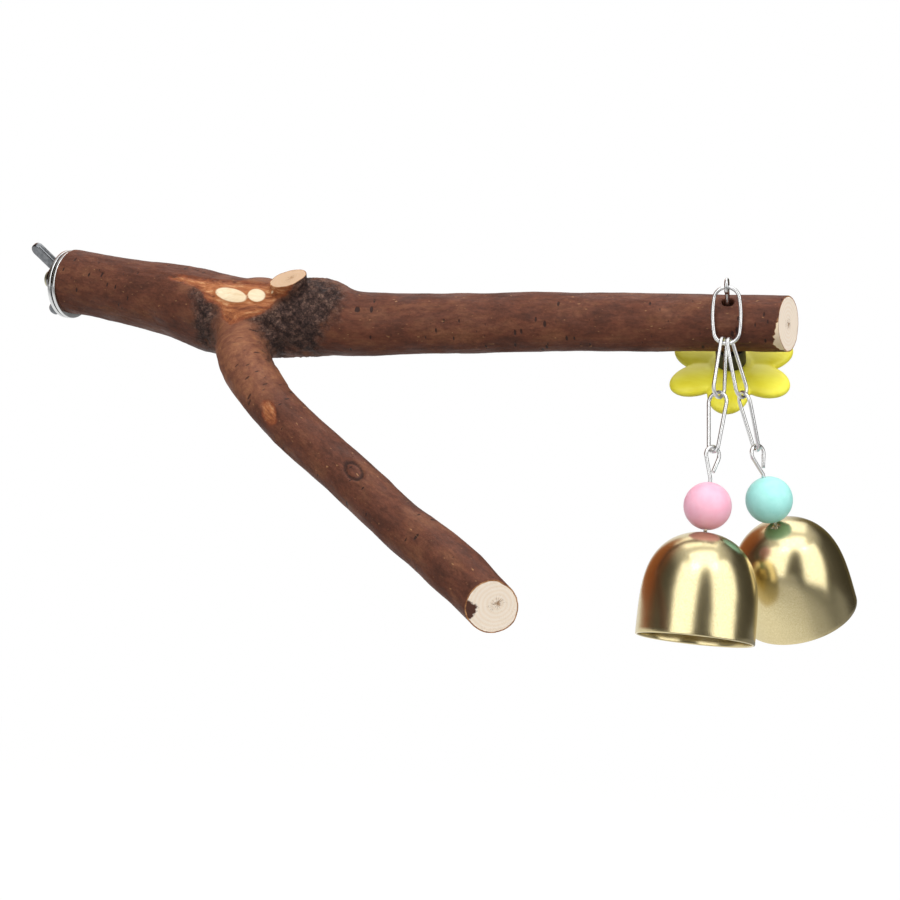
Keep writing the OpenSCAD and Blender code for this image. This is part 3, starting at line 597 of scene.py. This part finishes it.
def branch():
    """The natural branch, grown out of the swept wood: evened out, roughened with bark and sawn again."""
    shape = bmesh.new()
    shape.from_mesh(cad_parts["forked_branch"].data)
    bmesh.ops.remove_doubles(shape, verts=shape.verts, dist=0.005 * MM)
    for (at, facing), reach in ((ARM_FACE, 15), (FRONT_FACE, 13), (STUB_FACE, 10), (TRUNK_FACE, 15)):
        end = [v for v in shape.verts if abs((v.co / MM - at).dot(facing)) < 0.06 and (v.co / MM - at).length < reach]
        bmesh.ops.translate(shape, verts=end, vec=facing * 3 * MM)
    shape = evened(shape, 0.66, 3)
    fork = FORK * MM
    crotch = [v for v in shape.verts if (v.co - fork).length < 30 * MM and (v.co - STUB_FACE[0] * MM).length > 9 * MM]
    for k in range(14):
        bmesh.ops.smooth_vert(shape, verts=crotch, factor=0.5, use_axis_x=True, use_axis_y=True, use_axis_z=True)
    mesh = bpy.data.meshes.new("branch_wood")
    shape.to_mesh(mesh)
    shape.free()

    count = len(mesh.vertices)
    points = np.empty(count * 3, np.float32)
    normals = np.empty(count * 3, np.float32)
    mesh.vertices.foreach_get("co", points)
    mesh.vertices.foreach_get("normal", normals)
    points = points.reshape(-1, 3).astype(float) / MM
    normals = normals.reshape(-1, 3).astype(float)

    # place along the wood, blended where the three lines meet
    pattern = np.zeros((count, 3))
    weights = np.zeros(count)
    nearness = []
    woods = ((TRUNK_LINE, -1, 12.3, (0, 1, 0)), (ARM_LINE, 1, 10.5, (0, 1, 0)), (FRONT_LINE, 1, 8.5, (0.46, 0.89, 0)))
    for line, sign, size, across in woods:
        run, offset, away = along_line(points, line)
        nearness.append((run, away))
        weight = np.exp(-3.0 * away / size) + 1e-9
        level = np.array((0, 0, 1.0))
        pattern += weight[:, None] * np.c_[sign * run, offset @ np.array(across), offset @ level]
        weights += weight
    pattern /= weights[:, None]

    # marks seen from the front, in mm about the fork
    towards = normals @ np.array(BACK)
    spots = np.c_[(points - np.array(FORK)) @ np.array(RIGHT), (points - np.array(FORK)) @ np.array(UP)]
    turned_away = 14 * np.clip(0.05 - towards, 0, 1)
    peeled = inside_outline(spots, PEELED_OUTLINE) - turned_away
    pruned = np.full(count, -9.0)
    for middle, half_long, half_wide, slope in PRUNED_OVALS:
        pruned = np.maximum(pruned, inside_oval(spots, middle, half_long, half_wide, slope) - turned_away)
    knobbly = np.maximum(inside_outline(spots, LEFT_KNOBBLY_OUTLINE), inside_outline(spots, RIGHT_KNOBBLY_OUTLINE))
    knobbly = knobbly - 10 * np.clip(-0.05 - towards, 0, 1)
    behind = 17 - np.linalg.norm(points - np.array((100, -1, -6)), axis=1)
    knobbly = np.maximum(knobbly, np.where(towards < 0.15, behind, -9))
    knobbly = np.where(peeled > 0, -peeled, knobbly)
    young = 47 - nearness[2][0] - 2.7 * np.maximum(0, nearness[2][1] - 13)
    young = np.where(nearness[2][1] < nearness[0][1] + 1, young, -20)
    # a small bare oval on the front arm, and the dark fold round a healed knot
    from_oval = points - np.array((113.27, -45.8, -38.97))
    on_line = from_oval @ np.array((0.6, -0.35, -0.72))
    peeled = np.maximum(peeled, 2.9 - np.sqrt(np.maximum(0, (from_oval ** 2).sum(1) - on_line ** 2) + (on_line / 1.9) ** 2))
    from_knot = points - np.array((152.43, -57.49, -53.51))
    on_line = from_knot @ np.array((0.767, -0.402, -0.499))
    around = np.sqrt(np.maximum(0, (from_knot ** 2).sum(1) - on_line ** 2) + (on_line / 1.75) ** 2)
    knot_fold = np.abs(around - 2.4)

    # relief: slow unevenness, lengthwise ridges, deep crusts where the bark is old, all cut inwards
    depth = np.empty(count)
    crust_share = soft_step(knobbly, -1.5, 2.0)
    bare_share = np.maximum(soft_step(peeled, -0.6, 0.6), soft_step(pruned, -0.5, 0.3))
    for k in range(count):
        along, side, up = pattern[k]
        slow = noise.fractal(Vector((along / 17, side / 9, up / 9)), 1.0, 2.0, 2)
        ridge = noise.fractal(Vector((along / 9, side / 1.5, up / 1.5)), 0.9, 2.0, 3)
        depth[k] = -0.34 + 0.3 * slow + 0.1 * ridge
        if crust_share[k] > 0.01:
            p = Vector(points[k])
            crust = noise.ridged_multi_fractal(p / 4.6, 0.9, 2.1, 4, 1.0, 1.6)
            depth[k] += crust_share[k] * (0.75 * min(crust, 2.4) - 1.2)
    depth = depth * (1 - 0.85 * soft_step(pruned, -0.5, 0.4)) - 0.35 * bare_share
    bump = np.exp(-(np.linalg.norm(points - np.array((223.38, 9.69, 4.12)), axis=1) / 2.6) ** 2) * 0.5
    depth += bump + 0.3 * np.exp(-((around - 3.6) / 0.7) ** 2) - 0.5 * np.exp(-(knot_fold / 0.6) ** 2)
    stub_near = np.exp(-(np.linalg.norm(points - np.array(STUB_FACE[0]), axis=1) / 8.5) ** 2)
    depth *= 1 - 0.75 * stub_near
    moved = points + normals * depth[:, None]
    mesh.vertices.foreach_set("co", (moved * MM).astype(np.float32).ravel())

    # bark torn off in front and below, up to 3 mm back from the long arm's sawn face
    from_face = points - np.array(ARM_FACE[0])
    low = np.clip(0.25 - from_face @ np.array(UP) / 9, 0, 1) * np.clip(from_face @ np.array(BACK) / 4, 0, 1)
    torn = 3.4 * low + from_face @ np.array(ARM_FACE[1]) - 0.6
    torn = np.where(points[:, 0] > 240, torn, -20)

    marks = {"peeled": peeled, "pruned": pruned, "knobbly": knobbly, "young": young, "torn": torn, "knot": knot_fold}
    for name, values in marks.items():
        mark = mesh.attributes.new(name, "FLOAT", "POINT")
        mark.data.foreach_set("value", np.clip(values, -20, 20).astype(np.float32))
    along = mesh.attributes.new("along", "FLOAT_VECTOR", "POINT")
    along.data.foreach_set("vector", pattern.astype(np.float32).ravel())

    shape = bmesh.new()
    shape.from_mesh(mesh)
    bpy.data.meshes.remove(mesh)
    for f in shape.faces:
        f.smooth = True
    saw_off(shape, ARM_FACE, 26, 1, 2, 0.4)
    saw_off(shape, FRONT_FACE, 22, 1, 3, 0.4)
    saw_off(shape, STUB_FACE, 11, 1, 4, 0.28)
    saw_off(shape, TRUNK_FACE, 26, 1, 2, 0.5)
    materials = [bark(), bark_rim(), sawn_wood("sawn_long_arm", ARM_FACE),
                 sawn_wood("sawn_front_arm", FRONT_FACE, FRONT_NOTCH), sawn_wood("pruned_stub", STUB_FACE, aged=0.75)]
    as_object("natural_branch", shape, materials, "perch", ["forked_branch"])


# ---------------------------------------------------------------- clamp, flower, beads and bells

def clamp():
    zinc = plated("bright_zinc_washer", "#dcdddc", "#cbcccd", 0.17, 3.5, 0.006)
    for name, node, body, x in (("trunk_washer", "front_washer", "perch", 0.0), ("loose_washer", "rear_washer", "clamp_washer", -1.8)):
        ring = spun(rounded_tube(4.35, 12.5, 0, 1.3, 0.3), 96)
        bmesh.ops.rotate(ring, verts=ring.verts, cent=(0, 0, 0), matrix=Matrix.Rotation(math.radians(90), 3, "Y"))
        bmesh.ops.transform(ring, verts=ring.verts, matrix=Matrix.Scale(MM, 4) @ Matrix.Translation((x, 0, -1.3)))
        as_object(name, ring, [zinc], body, [node])

    # hub with rounded rims, and two wings with rounded edges that lean out of it
    cast = plated("zinc_cast_wing_nut", "#8b8d90", "#5f6265", 0.17, 2.6, 0.012)
    bore = [(3.3, 6.4), (3.05, 6.1), (3.05, 0.25), (3.3, 0)]
    nut = spun(arc((5.2, 0.55), 0.55, -90, 0, 3) + arc((4.35, 5.85), 0.55, 5, 90, 3) + bore, 48)
    for side in (0, 180):
        wing = bmesh.new()
        for x, z, r in ((5.75, 3.52, 2.3), (12.43, 9.28, 2.32)):
            for y in (-1.3, 1.3):
                made = bmesh.ops.create_circle(wing, segments=36, radius=r)["verts"]
                bmesh.ops.rotate(wing, verts=made, cent=(0, 0, 0), matrix=Matrix.Rotation(math.radians(90), 3, "X"))
                bmesh.ops.translate(wing, verts=made, vec=(x, y, z))
        hull = bmesh.ops.convex_hull(wing, input=wing.verts)
        spare = hull["geom_interior"] + hull["geom_unused"]
        spare = list({g for g in spare if isinstance(g, bmesh.types.BMVert) and g.is_valid})
        bmesh.ops.delete(wing, geom=spare, context="VERTS")
        bmesh.ops.dissolve_limit(wing, angle_limit=math.radians(2), verts=wing.verts, edges=wing.edges)
        rims = [e for e in wing.edges if len(e.link_faces) == 2 and e.calc_face_angle() > math.radians(50)]
        bmesh.ops.bevel(wing, geom=rims, affect="EDGES", offset=0.7, segments=3, profile=0.5, material=-1)
        bmesh.ops.rotate(wing, verts=wing.verts, cent=(0, 0, 0), matrix=Matrix.Rotation(math.radians(side), 3, "Z"))
        for f in wing.faces:
            f.smooth = True
        mesh = bpy.data.meshes.new("wing")
        wing.to_mesh(mesh)
        wing.free()
        nut.from_mesh(mesh)
        bpy.data.meshes.remove(mesh)
    turn = Matrix.Rotation(math.radians(-90), 4, "Y") @ Matrix.Rotation(math.radians(-32), 4, "Z")
    bmesh.ops.transform(nut, verts=nut.verts, matrix=Matrix.Scale(MM, 4) @ Matrix.Translation((-1.9, 0, 0)) @ turn)
    as_object("wing_nut_cast", nut, [cast], "clamp_nut", ["wing_nut"])


FLOWER_UP = Vector((0.0889371, -0.66643, 0.740244))
PIN_AT = Vector((245.191, 23.7106, 2.08026))
PIN_TURN = Matrix.Rotation(math.radians(43), 4, "X") @ Matrix.Rotation(math.radians(11.1), 4, "Z") @ Matrix.Rotation(math.radians(5.2), 4, "Y")


def flower():
    """Six petals, each rounded like a pebble, that run into a hub with the pin's bore, sanded and painted."""
    shape = spun(rounded_tube(1.7, 7.6, -22, -17, 1.3), 64)
    for k in range(6):
        petal = bmesh.ops.create_uvsphere(shape, u_segments=56, v_segments=28, radius=1.0)["verts"]
        for v in petal:
            v.co.z = math.copysign(abs(v.co.z) ** 0.7, v.co.z)
        turn = Matrix.Rotation(math.radians(60 * k + 30), 4, "Z")
        bmesh.ops.transform(shape, verts=petal, matrix=turn @ Matrix.Translation((12.4, 0, -19.5)) @ Matrix.Diagonal((9.95, 7.05, 2.55, 1)))
    bmesh.ops.transform(shape, verts=shape.verts, matrix=Matrix.Scale(MM, 4) @ Matrix.Translation(PIN_AT) @ PIN_TURN)
    shape = evened(shape, 0.42, 3)
    as_object("yellow_flower", shape, [painted_wood()], "flower_wheel", ["flower"])

    tube = spun(rounded_tube(1.7, 5.0, -16.7, -9.95, 0.35), 64)
    set_in_place(tube, PIN_AT, FLOWER_UP)
    as_object("black_spacer", tube, [black_tube()], "perch", ["flower_spacer"])


BEAD_AT = [Vector((250.038, 2.15685, -57.0445)), Vector((264.218, 22.9836, -54.318))]
BELL_AT = [Vector((250.507, 0.397886, -65.4497)), Vector((266.655, 24.512, -62.4226))]
CHAIN_WAY = [Vector((0.0544775, -0.204531, -0.977343)), Vector((0.283381, 0.177723, -0.942396))]
BELL_WAY = [Vector((0.0544775, -0.204531, -0.977343)), Vector((0.194902, 0.487934, -0.850843))]


def bell_section():
    """Half a bell: straight sides that round over a full crown, a thin wall and a rolled lip."""
    height, radius, wall, hole = 34.6, 19.0, 0.8, 1.1
    steps = 40
    side = []
    for k in range(steps + 1):
        h = (k / steps) ** 2
        side.append((radius * math.sqrt(1 - (1 - h) ** (1 / 0.263)), height * h))
    outer = [(r, z) for r, z in side if r > hole]
    outer[0] = (hole, 0.02)
    inner = [(max(r * (radius - wall) / radius, hole), z * (height - wall) / height + wall) for r, z in outer]
    outer = [p for p in outer if p[1] < height - 0.4]
    inner = [p for p in inner if p[1] < height - 0.4]
    lip = arc((radius - wall / 2, height - 0.4), 0.4, 0, 180, 6)
    return outer + lip + inner[::-1]


def bells_and_beads():
    metal = brass()
    pearl = [moulded_bead("pink_acrylic", "#f6bdd0", "#f2afc5"), moulded_bead("teal_acrylic", "#aeece6", "#9fe2db")]
    for side, name in enumerate(("left", "right")):
        bell = spun(bell_section(), 112)
        set_in_place(bell, BELL_AT[side], BELL_WAY[side])
        as_object(name + "_brass_bell", bell, [metal], name + "_bell_body", [name + "_bell"])
        bore = 0.75
        limit = math.degrees(math.asin((bore + 0.25) / 7.7))
        section = arc((0, 0), 7.7, -90 + limit, 90 - limit, 44) + [(bore + 0.06, 7.5), (bore, 7.2), (bore, -7.2), (bore + 0.06, -7.5)]
        bead = spun(section, 64)
        set_in_place(bead, BEAD_AT[side], CHAIN_WAY[side])
        as_object(name + "_acrylic_bead", bead, [pearl[side]], name + "_bead_body", [name + "_bead"])


# The chain's wire in mm and degrees: where each link hangs, and how it is turned about its chain. The wire
# is a hair thinner than the CAD's 1.3 mm, so that links stay clear of each other at their limits.
WIRE = 1.26
ARM_HEADING = 11.68
OVAL_TOP = Vector((246.614, 13.0478, 13.5742))
OVAL_LEAN = 5
CHAIN_TOP = [Vector((247.023, 13.4776, -2.94859)), Vector((248.788, 13.3066, -3.0045))]
CHAIN_LEAN = [(0.7, 12.2), (18.4, -6.7)]
LINK_RUN = 19.6
LINK_GRIP = 1.6
UPPER_TURN = [64, 64]
LOWER_TURN = [-27, -56]
HOOK_TURN = [46, 50]
HOOK_STEM_TOP = [10.455, 9.69]
EYELET_DOWN = [32.3, 31.4]
EYELET_TURN = [-86.7, 19.3]


def bent_wire(route, closed=False):
    """Round wire along a route of (x, z) points in mm, closed into a link or with rounded ends."""
    shape = bmesh.new()
    corners = bmesh.ops.create_circle(shape, segments=20, radius=WIRE / 2)["verts"]
    first = edges = list(shape.edges)
    places = []
    for k, point in enumerate(route):
        before = route[k - 1] if k or closed else point
        after = route[(k + 1) % len(route)] if k + 1 < len(route) or closed else point
        ways = [Vector(b) - Vector(a) for a, b in ((before, point), (point, after)) if a != b]
        way = sum((w.normalized() for w in ways), Vector((0, 0)))
        places.append((Matrix.Translation((point[0], 0, point[1])) @ Matrix.Rotation(math.atan2(way.x, way.y), 4, "Y"), 1.0))
    if not closed:
        for end, inward in ((0, 1), (-1, -1)):
            place = places[end][0]
            rim = [(place, 0.8), (place @ Matrix.Translation((0, 0, inward * 0.15)), 1.0)]
            places = rim + places[1:] if inward > 0 else places[:-1] + rim[::-1]
    placed = Matrix.Identity(4)
    for k, (place, share) in enumerate(places):
        if k:
            made = bmesh.ops.extrude_edge_only(shape, edges=edges)["geom"]
            corners = [g for g in made if isinstance(g, bmesh.types.BMVert)]
            edges = [g for g in made if isinstance(g, bmesh.types.BMEdge) and all(v in corners for v in g.verts)]
        place = place @ Matrix.Scale(share, 4)
        bmesh.ops.transform(shape, verts=corners, matrix=place @ placed.inverted())
        placed = place
    if closed:
        bmesh.ops.bridge_loops(shape, edges=first + edges)
    else:
        bmesh.ops.holes_fill(shape, edges=[e for e in shape.edges if e.is_boundary], sides=0)
    bmesh.ops.recalc_face_normals(shape, faces=shape.faces)
    for face in shape.faces:
        face.smooth = len(face.verts) == 4
    return shape


def oval_route():
    """An oval link of four arcs, hanging from its top."""
    half_l, half_w, end = 9.15, 4.55, 4.186
    rise = half_l - end
    side = (rise ** 2 + half_w ** 2 - end ** 2) / (2 * (half_w - end))
    turn = math.degrees(math.asin(rise / (side - end)))
    return (arc((0, rise - half_l), end, turn, 180 - turn, 24) + arc((side - half_w, -half_l), side, 180 - turn, 180 + turn, 8)[1:]
            + arc((0, -rise - half_l), end, 180 + turn, 360 - turn, 24)[1:] + arc((half_w - side, -half_l), side, -turn, turn, 8)[1:-1])


def pear_route(upside_down):
    """A pear-shaped link of two arcs and two straights, hanging from its narrow end or from its wide one."""
    neck, wide = 1.75, 3.35
    apart = LINK_RUN - neck - wide
    tilt = math.degrees(math.asin((wide - neck) / apart))
    route = arc((0, -neck), neck, tilt, 180 - tilt, 16) + arc((0, -neck - apart), wide, 180 - tilt, 360 + tilt, 24)
    return [(-x, -z - LINK_RUN) for x, z in route] if upside_down else route


def hook_route(side):
    """The hook over the lower link, from its free end, then the straight down through bead and crown."""
    bend, stem_top, tail_share = 2.75, HOOK_STEM_TOP[side], 0.68
    narrow = math.degrees(math.asin(bend / (stem_top - bend)))
    over = arc((0, -bend), bend, -narrow, 180 + narrow, 24)
    free = over[0]
    end = (free[0] * (1 - tail_share), free[1] + tail_share * (-stem_top - free[1]))
    return [end] + over + [(0, -stem_top), (0, 2 - EYELET_DOWN[side])]


def on_chain(side, down, turn):
    """Place and turn of a piece that hangs a number of mm down a leaning chain."""
    along, front = CHAIN_LEAN[side]
    turns = ((ARM_HEADING, "Z"), (-along, "Y"), (-front, "X"))
    place = Matrix.Translation(CHAIN_TOP[side])
    for degrees, axis in turns:
        place = place @ Matrix.Rotation(math.radians(degrees), 4, axis)
    return place @ Matrix.Translation((0, 0, -down)) @ Matrix.Rotation(math.radians(turn), 4, "Z")


def chain():
    """The oval link, four pear-shaped links and the two bell wires, in bright plated wire."""
    wire = plated("nickel_plated_wire", "#e2e2e1", "#d6d6d7", 0.26, 3.0, 0.002)
    in_pin = Matrix.Translation(OVAL_TOP) @ Matrix.Rotation(math.radians(ARM_HEADING), 4, "Z") @ Matrix.Rotation(math.radians(-OVAL_LEAN), 4, "Y")
    made = [("oval_wire_link", "top_link", "oval_link", [(oval_route(), True, in_pin)])]
    for side, name in enumerate(("left", "right")):
        hook_down = 2 * (LINK_RUN - LINK_GRIP)
        ring = arc((0, -EYELET_DOWN[side]), 2, 0, 360, 24)[:-1]
        made += [(name + "_upper_wire_link", name + "_upper_link", name + "_upper", [(pear_route(False), True, on_chain(side, 0, UPPER_TURN[side]))]),
                 (name + "_lower_wire_link", name + "_lower_link", name + "_lower",
                  [(pear_route(True), True, on_chain(side, hook_down / 2, LOWER_TURN[side]))]),
                 (name + "_bent_bell_wire", name + "_bell_wire", name + "_wire",
                  [(hook_route(side), False, on_chain(side, hook_down, HOOK_TURN[side])), (ring, True, on_chain(side, hook_down, EYELET_TURN[side]))])]
    for name, node, body, parts in made:
        shape = bmesh.new()
        for route, closed, place in parts:
            part = bent_wire(route, closed)
            bmesh.ops.transform(part, verts=part.verts, matrix=Matrix.Scale(MM, 4) @ place)
            mesh = bpy.data.meshes.new(name)
            part.to_mesh(mesh)
            part.free()
            shape.from_mesh(mesh)
            bpy.data.meshes.remove(mesh)
        as_object(name, shape, [wire], body, [node])


def turned_metal():
    """Pin, stud and clappers: the shapes of the CAD, merged and shaded round, in plated metal."""
    pin = plated("zinc_plated_pin_wire", "#cfd0d0", "#c0c1c2", 0.2, 3.0, 0.002)
    stud = plated("yellow_zinc_plated_stud", "#cdc9ae", "#a29f88", 0.28, 1.5)
    ball = plated("plated_clapper_steel", "#b9b9b8", "#8f8f8e", 0.3, 0.9)
    pieces = [("hanger_bolt", "perch", "plated_stud", "zinc", stud), ("split_pin", "perch", "bent_split_pin", "pin_wire", pin)]
    pieces += [(side + "_clapper", side + "_clapper_body", side + "_clapper_ball", "clapper_steel", ball) for side in ("left", "right")]
    for node, body, name, slot, material in pieces:
        shape = bmesh.new()
        shape.from_mesh(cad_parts[node].data)
        bmesh.ops.remove_doubles(shape, verts=shape.verts, dist=0.002 * MM)
        for face in shape.faces:
            face.smooth = True
        for edge in shape.edges:
            edge.smooth = len(edge.link_faces) == 2 and edge.calc_face_angle() < math.radians(35)
        as_object(name, shape, [material], body, [node])


camera()
studio()
floor()
branch()
clamp()
flower()
bells_and_beads()
chain()
turned_metal()
